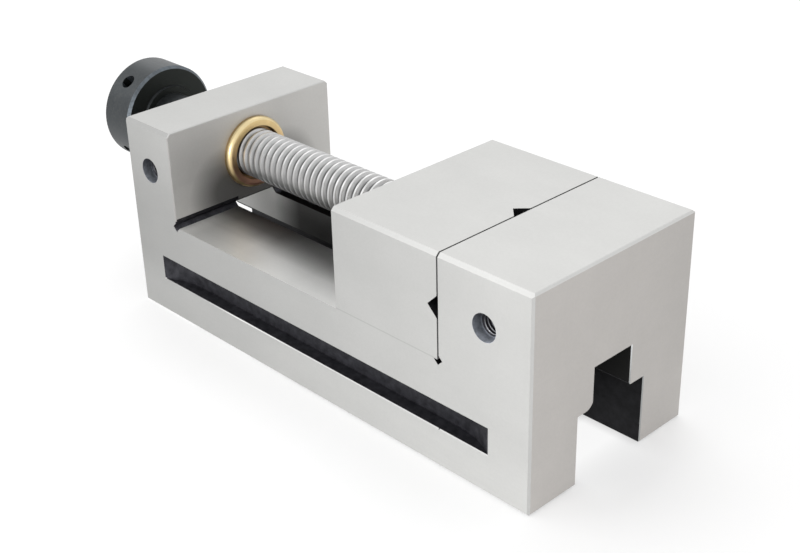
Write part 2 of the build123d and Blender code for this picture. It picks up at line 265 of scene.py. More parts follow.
def make_nut():
    """Flanged nut with the internal thread that the spindle runs in."""
    half_crest = CREST_W / 2 + NUT_GAP / 2
    major, minor = CREST_R + NUT_GAP, ROOT_R + NUT_GAP
    turn_profile = [
        (-half_crest, major),
        (half_crest, major),
        (half_crest + FLANK_W, minor),
        (PITCH - half_crest - FLANK_W, minor),
    ]
    start_x, end_x = nut_lo.x, nut_hi.x - MOUTH_DEPTH

    def limit(x, radius):
        return max(radius, major - min(x - start_x, end_x - x))

    turns = [pi / 2 * step / ROUND_STEPS for step in range(ROUND_STEPS + 1)]
    rounding = [
        (nut_hi.x - FLANGE_ROUND * (1 - sin(turn)), FLANGE_R - FLANGE_ROUND * (1 - cos(turn)))
        for turn in turns
    ]
    outline = [
        (start_x, major),
        (start_x, NUT_BODY_R),
        (FLANGE_BACK_X, NUT_BODY_R),
        (FLANGE_BACK_X, FLANGE_R),
        *rounding,
        (nut_hi.x, MOUTH_R + LIP_BEVEL),
        (nut_hi.x - LIP_BEVEL, MOUTH_R),
        (end_x, MOUTH_R),
        (end_x, major),
    ]
    bm = bmesh.new()
    add_helix(bm, start_x, end_x, PITCH, turn_profile, limit)
    add_lathe(bm, outline)
    shift(bm, z=AXIS_Z)
    return mesh_object("nut_thread", bm)


def make_tapped_hole(name, mount):
    """Cut thread inside one side hole, its outer wall buried in the block."""
    half = mount["dims"]["length_mm"] / 2 - TAP_INSET
    turn_profile = [
        (TAP_PITCH / 2 - TAP_FLAT, TAP_CREST_R),
        (TAP_PITCH / 2 + TAP_FLAT, TAP_CREST_R),
        (TAP_PITCH - TAP_FLAT, TAP_ROOT_R),
        (TAP_PITCH + TAP_FLAT, TAP_ROOT_R),
    ]

    def limit(x, radius):
        return max(radius, TAP_ROOT_R - TAP_RUN_IN * min(x + half, half - x))

    bm = bmesh.new()
    add_helix(bm, -half, half, TAP_PITCH, turn_profile, limit)
    add_lathe(bm, [(half, TAP_ROOT_R), (half, TAP_OUTER_R), (-half, TAP_OUTER_R), (-half, TAP_ROOT_R)])
    outward = mount["axis"][1]
    turn = Matrix.Rotation(radians(90) * outward, 3, "Z")
    bmesh.ops.rotate(bm, cent=(0, 0, 0), matrix=turn, verts=bm.verts)
    shift(bm, *(Vector(mount["pos_m"]) / MM))
    return mesh_object(name, bm)


# Node calls


class Nodes:
    """A node tree with short calls that add a node and give its output."""

    def __init__(self, tree):
        self.tree = tree

    def add(self, kind, *values, **settings):
        """New node, its first inputs filled in order."""
        node = self.tree.nodes.new("ShaderNode" + kind)
        for name, setting in settings.items():
            setattr(node, name, setting)
        for socket, value in zip(node.inputs, values):
            self.plug(socket, value)
        return node

    def plug(self, socket, value):
        """Links an output to a socket, or sets a plain value on it."""
        if isinstance(value, bpy.types.NodeSocket):
            self.tree.links.new(value, socket)
        else:
            socket.default_value = value

    def math(self, operation, *values):
        return self.add("Math", *values, operation=operation).outputs[0]

    def vector(self, operation, *values):
        return self.add("VectorMath", *values, operation=operation).outputs[0]

    def chain(self, operation, values):
        """One operation over two or more values."""
        total, *others = values
        for value in others:
            total = self.math(operation, total, value)
        return total

    def product(self, *values):
        return self.chain("MULTIPLY", values)

    def largest(self, *values):
        return self.chain("MAXIMUM", values)

    def minus(self, value, other):
        return self.math("SUBTRACT", value, other)

    def size(self, value):
        """Value without its sign."""
        return self.math("ABSOLUTE", value)

    def above(self, value, limit):
        """1 where the value is above the limit, else 0."""
        return self.math("GREATER_THAN", value, limit)

    def below(self, value, limit):
        """1 where the value is below the limit, else 0."""
        return self.math("LESS_THAN", value, limit)

    def diagonal(self, across, up):
        """Length of two steps at right angles."""
        return self.math("SQRT", self.math("ADD", self.product(across, across), self.product(up, up)))

    def spread(self, value, low, high, new_low=0.0, new_high=1.0):
        """Value from low..high to new_low..new_high, clamped."""
        return self.add("MapRange", value, low, high, new_low, new_high).outputs[0]

    def split(self, vector):
        return self.add("SeparateXYZ", vector).outputs

    def scaled(self, vector, factor):
        """Vector or colour times a number."""
        node = self.add("VectorMath", vector[:3] if isinstance(vector, tuple) else vector, operation="SCALE")
        self.plug(node.inputs["Scale"], factor)
        return node.outputs[0]

    def coordinates(self):
        """Place in millimetres and normal, both along the object's own axes."""
        outputs = self.add("TexCoord").outputs
        return self.scaled(outputs["Object"], 1 / MM), outputs["Normal"]


class Finish(Nodes):
    """A procedural material and the places on the piece that it is built from."""

    def __init__(self, name):
        self.material = bpy.data.materials.new(name)
        self.material.use_nodes = True
        super().__init__(self.material.node_tree)
        self.place, self.normal = self.coordinates()
        self.x, self.y, self.z = self.split(self.place)

    def mix(self, share, first, second):
        """Colour between first and second."""
        node = self.add("Mix", share, data_type="RGBA")
        self.plug(node.inputs[6], first)
        self.plug(node.inputs[7], second)
        return node.outputs[2]

    def blend(self, share, first, second):
        """Number between first and second."""
        node = self.add("Mix", share)
        self.plug(node.inputs[2], first)
        self.plug(node.inputs[3], second)
        return node.outputs[0]

    def noise(self, stretch, detail=3.0, roughness=0.5, place=None):
        """Noise with stretch features per millimetre along each axis."""
        vector = self.vector("MULTIPLY", self.place if place is None else place, stretch)
        node = self.add("TexNoise", vector)
        node.inputs["Scale"].default_value = 1.0
        node.inputs["Detail"].default_value = detail
        node.inputs["Roughness"].default_value = roughness
        return node.outputs[0]

    def inside(self, *ranges):
        """1 inside a box, else 0. The ranges are (low, high) along x, y and z in millimetres."""
        centre = [(low + high) / 2 for low, high in ranges]
        half = [(high - low) / 2 for low, high in ranges]
        away = self.vector("ABSOLUTE", self.vector("SUBTRACT", self.place, centre))
        return self.below(self.largest(*self.split(self.vector("SUBTRACT", away, half))), 0.0)

    def off_spindle(self):
        """Distance from the spindle's axis."""
        return self.diagonal(self.y, self.minus(self.z, AXIS_Z))

    def off_taps(self):
        """Distance from the nearest side hole's axis."""
        distances = [self.diagonal(self.minus(self.x, x), self.minus(self.z, z)) for x, z in tap_axes]
        return self.chain("MINIMUM", distances)

    def bump(self, height, distance_mm, under=None):
        """Normal bent by a height, over the bump under it."""
        node = self.add("Bump")
        self.plug(node.inputs["Height"], height)
        node.inputs["Distance"].default_value = distance_mm * MM
        node.inputs["Strength"].default_value = 1.0
        if under is not None:
            self.plug(node.inputs["Normal"], under)
        return node.outputs[0]

    def surface(self, **values):
        """Fills the shader's sockets, base_color for Base Color and so on, and gives the material."""
        shader = self.tree.nodes["Principled BSDF"]
        for key, value in values.items():
            self.plug(shader.inputs[key.replace("_", " ").title()], value)
        return self.material


def rgb(red, green, blue):
    """Linear colour with alpha."""
    return (red, green, blue, 1.0)


# Ground steel

STEEL = rgb(0.55, 0.55, 0.54)
# Lighter copies of the steel on end faces, lightest on the end block's faces: painted light
END_STEEL_LIT = rgb(0.58, 0.56, 0.54)
INNER_STEEL_LIT = rgb(0.70, 0.69, 0.67)
# Bevels brighter than the faces: painted highlight
BEVEL_HIGHLIGHT_STEEL = rgb(0.66, 0.66, 0.65)
# Upright bevels at the end block's inner corners, darker: painted shade
UPRIGHT_SHADED_STEEL = rgb(0.46, 0.45, 0.44)
# Near-white bevels round the front opening: painted highlight
MOUTH_HIGHLIGHT_STEEL = rgb(0.98, 1.0, 1.0)
# Dark lips of the guide slot: painted reflection of the spindle's dark underside
LIP_DARK_REFLECTION = rgb(0.10, 0.10, 0.10)
SLOT_STEEL = rgb(0.46, 0.46, 0.45)
SCALE_BLACK = rgb(0.010, 0.010, 0.012)
SCALE_GREY = rgb(0.026, 0.026, 0.030)
JOINT_BLACK = rgb(0.10, 0.10, 0.10)
HOLE_STEEL = rgb(0.30, 0.32, 0.36)

# Parts of a unit normal that tell faces, bevels and slopes apart
ON_FACE = 0.9
ON_BEVEL = 0.95
MOSTLY_UP = 0.6
HARDLY = 0.3

# Stretches of a noise's values between which a shade changes
MIDDLE = (0.3, 0.7)
WIDE = (0.25, 0.75)
SCALE_SPOTS = (0.35, 0.7)
DULL_SPOTS = (0.42, 0.72)
ROUGH_SPOTS = (0.4, 0.75)

# Noises, as features per millimetre along x, y and z, then detail and roughness
GRIND_LONG = ((0.018, 2.6, 2.6), 5.0, 0.6)
GRIND_ACROSS = ((2.6, 0.018, 2.6), 5.0, 0.6)
FINE_LONG = ((0.05, 9, 9), 2.0)
FINE_ACROSS = ((9, 0.05, 9), 2.0)
CLOUD = ((0.035, 0.05, 0.05), 3.0, 0.55)
SPECK = ((1.1, 1.1, 1.1), 2.0, 0.5)
PATINA = ((0.7, 0.7, 0.7), 5.0, 0.65)
SCALE_MOTTLE = ((0.35, 0.35, 0.35), 4.0, 0.6)

# Shades that a noise gives, at its low and at its high values
LINE_SHADES = (0.975, 1.02)
SPECK_SHADES = (0.985, 1.01)

# Where the bevels with their own painted shade and highlight are, the boxes as ranges along x, y and z
TOP_EDGE_Z = 70.0
CORNER_EDGE_X = body_hi.x - 1.2
SLOT_EDGE_Z = (13.0, 14.0)
UPRIGHT_BOX = (
    (END_FACE_X - 0.5, END_FACE_X + 0.1),
    (body_lo.y - 1, body_hi.y + 1),
    (BED_Z + 1, body_hi.z - 1.3),
)
MOUTH_BOX = ((body_hi.x - 0.35, body_hi.x + 0.1), (-16.0, 16.0), (0.5, BED_Z + 1.2))

# Ramps of painted light and shade, as two places in millimetres and the factors there
BLOCK_ALONG = (body_lo.x, body_hi.x, 0.86, 1.0)
SIDE_ALONG = (body_lo.x, body_hi.x, 0.84, 1.08)
SIDE_REAR_TO_FRONT = (-45.0, 35.0)
SIDE_RISE_REAR = (40.0, 68.0, 0.99, 1.15)
SIDE_RISE_FRONT = (30.0, 60.0, 1.0, 0.94)
FOOT_RISE = (10.0, 24.0, 1.0, 0.0)
FOOT_ALONG = (-60.0, 110.0, 1.18, 1.10)
FRONT_ACROSS = (body_lo.y, body_hi.y, 1.03, 0.93)
FRONT_RISE = (5.0, 35.0, 1.02, 0.96)
TOP_EDGE_ALONG = (-45.0, 85.0, 0.74, 1.0)
CORNER_EDGE_ACROSS = (body_lo.y, body_hi.y, 0.88, 0.74)
SLOT_EDGE_ALONG = (-68.0, 0.0, 0.40, 0.85)
MOUTH_RISE = (26.0, 38.0, 0.45, 0.80)
GUIDE_REAR = (-50.0, -36.0, 1.50, 0.28)
GUIDE_FRONT = (30.0, 60.0, 1.0, 0.30)

# Painted shade and light on the bed, standing in for the spindle's dark reflection and shadow, and the bed's
# roughness, across from the middle and along from the end block
BED_SHADE_ACROSS = (9.5, 27.0, 0.08, 1.3)
BED_SHADE_ALONG = (
    (-47.0, -40.0, 1.3, 1.0),
    (-38.0, -18.0, 1.0, 1.2),
    (-18.0, -8.0, 1.0, 0.83),
    (-8.0, 12.0, 0.89, 0.69),
)
BED_SHADOW_ACROSS = (17.0, 24.0, 0.60, 1.0)
BED_SHADOW_END = (-16.0, -8.0)
BED_LIGHT_ACROSS = (20.0, 25.0, 1.4, 1.0)
BED_LIGHT_END = (-34.0, -24.0)
BED_DULL_ALONG = (-44.0, -14.0, 0.22, 0.0)

# Painted shade round the nut, by the distance from a level line below the spindle's axis
NUT_SHADE_Z = 44.0
NUT_SHADE_HALF = 12.0
NUT_SHADE_FADE = (6.0, 18.0, 0.35, 1.0)

# Painted light in the side holes
HOLE_RISE = (AXIS_Z - 4.5, AXIS_Z + 3.5, 1.95, 0.42)
HOLE_OUTWARD = (33.0, 36.5, 0.5, 1.0)
HOLE_ALONG = (body_lo.x, body_hi.x, 0.62, 1.12)
HOLE_PATINA = (0.35, 0.65, 0.62, 1.15)

# Painted light in the blackened recesses
CLAMP_SLOT_RISE = (14.0, 22.0, 2.7, 1.5)
CHANNEL_RISE = (24.4, 25.2, 0.72, 1.0)
CHANNEL_TO_SIDE = (24.0, 31.0)
CORNER_REACH = 2.3
CORNER_DROP = 0.9
CORNER_HALF = 2.5
CORNER_INNER_Y = 9.0
CORNER_LIGHT = 2.6

# The other shades and surfaces of the steel
BRIDGE_SHADE = 0.26
JAW_FOOT_SHADE = 0.86
JAW_FOOT = 0.4
LONG_ROUGHNESS = (0.58, 0.66)
END_ROUGHNESS = (0.60, 0.68)
BED_ROUGHNESS = (0.34, 0.40)
HOLE_ROUGHNESS = 0.45
HOLE_METALLIC = 0.35
SCALE_ROUGHNESS = 0.55
SCALE_METALLIC = 0.75

# Heights of the bumps in millimetres
GRIND_DEPTH = 0.006
FINE_DEPTH = 0.0035
TURNED_DEPTH = 0.004
BRASS_DEPTH = 0.006
OXIDE_DEPTH = 0.02


class GroundSteel(Finish):
    """Ground steel: grinding lines, with painted light and shade on faces and bevels by their place and on
    the bed.

    The shade multiplies the steel's colour, and holes and recesses are laid over the two.
    """

    def __init__(self, name):
        super().__init__(name)
        self.facing_x, self.facing_y, self.facing_z = self.split(self.vector("ABSOLUTE", self.normal))
        self.on_end = self.above(self.facing_x, ON_FACE)
        self.on_side = self.above(self.facing_y, ON_FACE)
        self.on_bevel = self.below(self.largest(self.facing_x, self.facing_y, self.facing_z), ON_BEVEL)
        self.at_end_block = self.below(self.x, END_FACE_X + 1)
        self.off_middle = self.size(self.y)
        self.lines = self.blend(self.on_end, self.noise(*GRIND_LONG), self.noise(*GRIND_ACROSS))
        self.shade = self.spread(self.lines, *MIDDLE, *LINE_SHADES)
        # End faces, and most of all the end block's faces, take lighter copies of the steel as painted light
        self.colour = self.mix(self.on_end, STEEL, self.mix(self.at_end_block, END_STEEL_LIT, INNER_STEEL_LIT))
        long_roughness = self.spread(self.lines, *WIDE, *LONG_ROUGHNESS)
        end_roughness = self.spread(self.lines, *WIDE, *END_ROUGHNESS)
        self.roughness = self.blend(self.on_end, long_roughness, end_roughness)
        self.metallic = 1.0
        self.shade_faces()
        self.shade_bevels()
        self.paint_bed_shade()
        self.shade_round_nut()

    def shade_by(self, factor, where=None):
        """Multiplies the shade, everywhere or where a mask is 1."""
        if where is not None:
            factor = self.blend(where, 1.0, factor)
        self.shade = self.product(self.shade, factor)

    def lay(self, where, colour):
        """Lays a colour over what is there, where a mask is 1."""
        self.colour = self.mix(where, self.colour, colour)

    def shade_faces(self):
        """Painted light and shade: slow changes along the sides, the foot and the front face, with random
        clouds and specks.
        """
        self.shade_by(self.spread(self.x, *BLOCK_ALONG))
        rise = self.blend(
            self.spread(self.x, *SIDE_REAR_TO_FRONT),
            self.spread(self.z, *SIDE_RISE_REAR),
            self.spread(self.z, *SIDE_RISE_FRONT),
        )
        self.shade_by(self.product(self.spread(self.x, *SIDE_ALONG), rise), self.on_side)
        foot = self.product(self.on_side, self.spread(self.z, *FOOT_RISE))
        self.shade_by(self.spread(self.x, *FOOT_ALONG), foot)
        front = self.product(self.on_end, self.above(self.x, FIXED_FACE_X + 1))
        across_front = self.product(self.spread(self.y, *FRONT_ACROSS), self.spread(self.z, *FRONT_RISE))
        self.shade_by(across_front, front)
        self.shade_by(self.spread(self.noise(*CLOUD), *MIDDLE, *LINE_SHADES))
        self.shade_by(self.spread(self.noise(*SPECK), *MIDDLE, *SPECK_SHADES))

    def shade_bevels(self):
        """Painted highlights on the bevels, with painted shade along the top, at the front corners and under
        the clamping slots.

        Those up the end block's inner corners have a darker painted shade of their own, and those round the
        front opening a near-white painted highlight.
        """
        level = self.below(self.facing_x, HARDLY)
        top = self.product(self.above(self.z, TOP_EDGE_Z), level)
        corner = self.product(self.below(self.facing_z, HARDLY), self.above(self.x, CORNER_EDGE_X))
        low_z, high_z = SLOT_EDGE_Z
        slot = self.product(level, self.below(self.z, high_z), self.above(self.z, low_z))
        shade = self.product(
            self.blend(top, 1.0, self.spread(self.x, *TOP_EDGE_ALONG)),
            self.blend(corner, 1.0, self.spread(self.y, *CORNER_EDGE_ACROSS)),
            self.blend(slot, 1.0, self.spread(self.x, *SLOT_EDGE_ALONG)),
        )
        # Painted highlight on the bevels, with painted shade by place
        self.lay(self.on_bevel, self.scaled(BEVEL_HIGHLIGHT_STEEL, shade))
        # Darker upright bevels at the end block's inner corners: painted shade
        self.lay(self.product(self.inside(*UPRIGHT_BOX), self.on_bevel), UPRIGHT_SHADED_STEEL)
        # Painted highlight round the front opening, darker lower down
        mouth_highlight = self.scaled(MOUTH_HIGHLIGHT_STEEL, self.spread(self.z, *MOUTH_RISE))
        self.lay(self.product(self.inside(*MOUTH_BOX), self.on_bevel), mouth_highlight)

    def paint_bed_shade(self):
        """Painted shade and light on the bed, dark beside the guide slot and lighter towards the edges, with
        roughness that rises towards the end block.
        """
        bed = self.product(self.below(self.z, BED_Z + 0.5), self.above(self.facing_z, MOSTLY_UP))
        dark = self.spread(self.off_middle, *BED_SHADOW_ACROSS)
        pale = self.spread(self.off_middle, *BED_LIGHT_ACROSS)
        # The spindle's dark reflection and shadow beside the guide slot, lighter towards the edges: painted
        # shade and light
        bed_shade = self.product(
            self.spread(self.off_middle, *BED_SHADE_ACROSS),
            *[self.spread(self.x, *ramp) for ramp in BED_SHADE_ALONG],
            self.blend(self.spread(self.x, *BED_SHADOW_END), dark, 1.0),
            self.blend(self.spread(self.x, *BED_LIGHT_END), pale, 1.0),
        )
        self.shade_by(bed_shade, bed)
        ground = self.spread(self.lines, *WIDE, *BED_ROUGHNESS)
        dulled = self.math("ADD", ground, self.spread(self.x, *BED_DULL_ALONG))
        self.roughness = self.blend(bed, self.roughness, dulled)

    def shade_round_nut(self):
        """Painted shade on the end block's faces round the nut, darkest below it."""
        beside = self.largest(self.minus(self.off_middle, NUT_SHADE_HALF), 0.0)
        away = self.diagonal(beside, self.minus(self.z, NUT_SHADE_Z))
        self.shade_by(self.spread(away, *NUT_SHADE_FADE), self.product(self.at_end_block, self.on_end))

    def colour_guide_slot(self):
        """Painted light and shade in the guide slot: walls and roof light at the rear end, dark further on
        and darker still at the front; lips dark as a painted reflection of the spindle's underside; and a
        shaded bridge over its rear end.
        """
        bridge = self.inside(
            (END_FACE_X - BRIDGE_DEPTH, END_FACE_X - SKIN),
            (-SLOT_HALF, SLOT_HALF),
            (BED_Z, BED_Z + BRIDGE_HEIGHT),
        )
        # Bridge over the slot's rear end darkened: painted shade
        self.lay(bridge, self.scaled(INNER_STEEL_LIT, BRIDGE_SHADE))
        walls = self.inside(
            (body_lo.x + RIM, body_hi.x - RIM),
            (-SLOT_HALF - HAIR, SLOT_HALF + HAIR),
            (LEDGE_Z, BED_Z + SLOT_ROOF),
        )
        # Walls light at the rear end and dark further on: painted light and shade
        shade = self.product(self.spread(self.x, *GUIDE_REAR), self.spread(self.x, *GUIDE_FRONT))
        self.lay(walls, self.scaled(SLOT_STEEL, shade))
        lips = self.inside(
            (END_FACE_X, FIXED_FACE_X),
            (-SLOT_LIP_Y, SLOT_LIP_Y),
            (BED_Z - SLOT_LIP_DEPTH, BED_Z - HAIR),
        )
        # Lips: painted dark reflection of the spindle
        self.lay(lips, LIP_DARK_REFLECTION)

    def darken_seam(self, reach):
        """Dark bevels where the closed jaws meet."""
        near = self.below(self.size(self.minus(self.x, FIXED_FACE_X)), reach)
        self.lay(self.product(self.on_bevel, near), JOINT_BLACK)

    def set_shade(self):
        """Shades the colours laid so far."""
        self.colour = self.scaled(self.colour, self.shade)

    def cover(self, where, colour, roughness, metallic):
        """Lays another surface over the shaded steel."""
        self.lay(where, colour)
        self.roughness = self.blend(where, self.roughness, roughness)
        self.metallic = self.blend(where, self.metallic, metallic)

    def line_holes(self):
        """Walls of the four side holes with painted light: bright below, towards the mouth and towards the
        front.
        """
        light = self.product(
            self.spread(self.z, *HOLE_RISE),
            self.spread(self.off_middle, *HOLE_OUTWARD),
            self.spread(self.noise(*PATINA), *HOLE_PATINA),
            self.spread(self.x, *HOLE_ALONG),
        )
        hole = self.below(self.off_taps(), HOLE_MOUTH_R)
        self.cover(hole, self.scaled(HOLE_STEEL, light), HOLE_ROUGHNESS, HOLE_METALLIC)

    def blacken(self, masks):
        """Black scale in the recesses with painted light: lighter in the clamping slots and most at their
        floor, darker in the channel below the ledge, and lighter in the bed's rear corner.
        """
        light = self.blend(
            self.spread(self.off_middle, *CHANNEL_TO_SIDE),
            self.spread(self.z, *CHANNEL_RISE),
            self.spread(self.z, *CLAMP_SLOT_RISE),
        )
        corner = self.product(
            self.below(self.size(self.minus(self.x, END_FACE_X)), CORNER_REACH),
            self.below(self.size(self.minus(self.z, BED_Z - CORNER_DROP)), CORNER_HALF),
            self.above(self.off_middle, CORNER_INNER_Y),
        )
        # Lighter bed rear corner: painted light
        light = self.product(light, self.blend(corner, 1.0, CORNER_LIGHT))
        mottle = self.spread(self.noise(*SCALE_MOTTLE), *SCALE_SPOTS)
        scale = self.scaled(self.mix(mottle, SCALE_BLACK, SCALE_GREY), light)
        self.cover(self.largest(*masks), scale, SCALE_ROUGHNESS, SCALE_METALLIC)

    def finished(self):
        """Fine scratches over the grinding lines, and the material."""
        fine = self.blend(self.on_end, self.noise(*FINE_LONG), self.noise(*FINE_ACROSS))
        return self.surface(
            base_color=self.colour,
            metallic=self.metallic,
            roughness=self.roughness,
            normal=self.bump(fine, FINE_DEPTH, under=self.bump(self.lines, GRIND_DEPTH)),
        )


def relief_shade_mask(finish):
    """The relief cuts in the bed's two corners, which stop at the guide slot. Their black is painted shade in
    the corners.
    """
    full_width = (body_lo.y + SKIN, body_hi.y - SKIN)
    masks = [
        finish.inside(
            (END_FACE_X - RELIEF_REACH, END_FACE_X + SKIN),
            (body_lo.y + RELIEF_SIDE, body_hi.y - RELIEF_SIDE),
            (BED_Z, BED_Z + RELIEF_HEIGHT),
        )
    ]
    for corner_x, low_x, high_x in (
        (END_FACE_X, END_FACE_X - RELIEF_REACH, END_FACE_X + SKIN),
        (FIXED_FACE_X, FIXED_FACE_X + SKIN, FIXED_FACE_X + RELIEF_REACH),
    ):
        masks.append(finish.inside((low_x, high_x), full_width, (BED_Z - RELIEF_REACH, BED_Z + RELIEF_REACH)))
        below_bed = (BED_Z - RELIEF_REACH, BED_Z - SKIN)
        masks.append(finish.inside((corner_x - RELIEF_REACH, corner_x + RELIEF_REACH), full_width, below_bed))
    beside_slot = finish.above(finish.size(finish.y), SLOT_HALF)
    return finish.product(beside_slot, finish.largest(*masks))


def body_recesses(finish):
    """The blackened channel, its ledge corners and the clamping slots, with the relief cuts, whose black is
    painted shade.
    """
    rear, front = body_lo.x + RIM, body_hi.x - RIM
    low, high = CLAMP_SLOT_Z - CLAMP_SLOT_HALF, CLAMP_SLOT_Z + CLAMP_SLOT_HALF
    masks = [
        finish.inside((rear, front), (-CHANNEL_HALF, CHANNEL_HALF), (RIM, LEDGE_Z)),
        finish.inside((rear, front), LEDGE_ROUND_Y, (LEDGE_Z - SKIN, LEDGE_ROUND_TOP)),
        finish.inside((rear, front), LEDGE_BREAK_Y, LEDGE_BREAK_Z),
        relief_shade_mask(finish),
    ]
    for side in (-1, 1):
        slot = sorted((side * (body_hi.y - RIM), side * (body_hi.y - CLAMP_SLOT_DEPTH)))
        rim = sorted((side * (body_hi.y - SKIN), side * (body_hi.y - CLAMP_RIM_DEPTH)))
        masks.append(finish.inside((rear + CLAMP_REAR_END, front - CLAMP_FRONT_END), slot, (low, high)))
        rim_z = (low + CLAMP_RIM_BELOW, high + CLAMP_RIM_ABOVE)
        masks.append(finish.inside((rear + CLAMP_REAR_END, END_FACE_X), rim, rim_z))
    return masks


def jaw_recesses(finish):
    """The two V grooves of the sliding jaw."""
    depth = (FIXED_FACE_X - GROOVE_DEPTH, FIXED_FACE_X - SKIN)
    level_z = BED_Z + GROOVE_HEIGHT
    return [
        finish.inside(depth, (-GROOVE_HALF, GROOVE_HALF), (BED_Z, jaw_hi.z - SKIN)),
        finish.inside(
            depth,
            (jaw_lo.y + SKIN, jaw_hi.y - SKIN),
            (level_z - GROOVE_HALF, level_z + GROOVE_HALF),
        ),
    ]


def body_steel():
    """Ground steel of the block."""
    steel = GroundSteel("ground_steel_body")
    steel.colour_guide_slot()
    steel.darken_seam(BODY_SEAM)
    steel.set_shade()
    steel.line_holes()
    steel.blacken(body_recesses(steel))
    return steel.finished()


def jaw_steel():
    """Ground steel of the sliding jaw, with a shade along its foot."""
    steel = GroundSteel("ground_steel_jaw")
    steel.shade_by(JAW_FOOT_SHADE, steel.product(steel.below(steel.z, BED_Z + JAW_FOOT), steel.on_side))
    steel.darken_seam(JAW_SEAM)
    steel.set_shade()
    steel.blacken(jaw_recesses(steel))
    return steel.finished()


def plate_steel():
    """Ground steel of the keeper plate."""
    steel = GroundSteel("ground_steel_plate")
    steel.set_shade()
    return steel.finished()


# Turned, tapped and blackened metal

SMOOTHER = 0.05
ROUGHER = 0.08
# Grey of the thread's roots: painted shade
ROOT_SHADE_GREY = rgb(0.25, 0.25, 0.25)
GROOVE_FADE = 0.9
# Tapped thread: painted highlight on the crests, painted shade in the roots, then ramps of painted light
TAP_CREST_HIGHLIGHT = rgb(0.62, 0.63, 0.66)
TAP_ROOT_SHADE = rgb(0.035, 0.035, 0.04)
TAP_FADE = (TAP_CREST_R + 0.04, TAP_CREST_R + 0.22)
TAP_RISE = (AXIS_Z - 3.2, AXIS_Z + 0.5, 1.0, 0.16)
TAP_OUTWARD = (27.0, 33.0, 0.25, 1.0)
TAP_ALONG = (-62.0, 98.0, 0.15, 1.0)
# Brass: lit and shaded copies for painted light and shade on the rim, the barrel, the flat face and the mouth
RIM_BRASS_SHADED = rgb(0.72, 0.52, 0.26)
RIM_BRASS_LIT = rgb(0.84, 0.69, 0.40)
BARREL_BRASS_SHADED = rgb(0.42, 0.30, 0.15)
FLAT_BRASS_FOOT_LIT = rgb(0.98, 0.56, 0.40)
FLAT_BRASS_SHADED = rgb(0.52, 0.31, 0.19)
FLAT_BRASS_LIT = rgb(0.74, 0.56, 0.28)
BORE_BRASS_SHADED = rgb(0.34, 0.22, 0.11)
FLAT_EDGE_R = FLANGE_R - FLANGE_ROUND + 0.9
BORE_EDGE_R = MOUTH_R + 0.05

# Heights on the nut over the spindle's axis, over which the painted light and shade on the brass change
RIM_RISE = (-10.0, 8.0)
FLAT_RISE = (-9.0, 9.0)
FLAT_FOOT_RISE = (-10.0, -1.0)


def turned_metal(name, colour, dull, roughness, grain=0.04, threaded=False):
    """Turned metal with lines round the spindle's axis; on a thread, painted shade darkens the roots."""
    finish = Finish(name)
    lines = finish.noise((5.0, 0.02, 0.02), 4.0, 0.6)
    blotch = finish.noise((0.22, 0.22, 0.22), 4.0, 0.6)
    base = finish.mix(finish.spread(blotch, *DULL_SPOTS), colour, dull)
    if threaded:
        root = finish.product(
            finish.spread(finish.off_spindle(), ROOT_R, CREST_R - GROOVE_FADE, 1.0, 0.0),
            finish.below(finish.x, THREAD_END_X),
            finish.above(finish.x, THREAD_START_X),
        )
        base = finish.mix(root, base, ROOT_SHADE_GREY)
    rough_lines = finish.spread(lines, *MIDDLE, roughness, roughness + ROUGHER)
    return finish.surface(
        base_color=finish.scaled(base, finish.spread(lines, *MIDDLE, 1 - grain, 1 + grain / 2)),
        metallic=1.0,
        roughness=finish.math("ADD", rough_lines, finish.spread(blotch, *ROUGH_SPOTS, 0.0, ROUGHER)),
        normal=finish.bump(lines, TURNED_DEPTH),
    )


def tapped_steel(name):
    """Cut thread of the side holes with painted highlights on the crests and painted shade in the roots,
    brighter below, towards the mouth and towards the front as painted light.
    """
    finish = Finish(name)
    lines = finish.noise((0.4, 6.0, 0.4), 3.0, 0.6)
    light = finish.product(
        finish.spread(finish.z, *TAP_RISE),
        finish.spread(finish.size(finish.y), *TAP_OUTWARD),
        finish.spread(finish.x, *TAP_ALONG),
    )
    root = finish.spread(finish.off_taps(), *TAP_FADE)
    base = finish.mix(root, finish.scaled(TAP_CREST_HIGHLIGHT, light), TAP_ROOT_SHADE)
    return finish.surface(
        base_color=finish.scaled(base, finish.spread(lines, *MIDDLE, 0.85, 1.05)),
        metallic=1.0,
        roughness=finish.spread(lines, *MIDDLE, 0.40, 0.50),
        normal=finish.bump(lines, TURNED_DEPTH),
    )


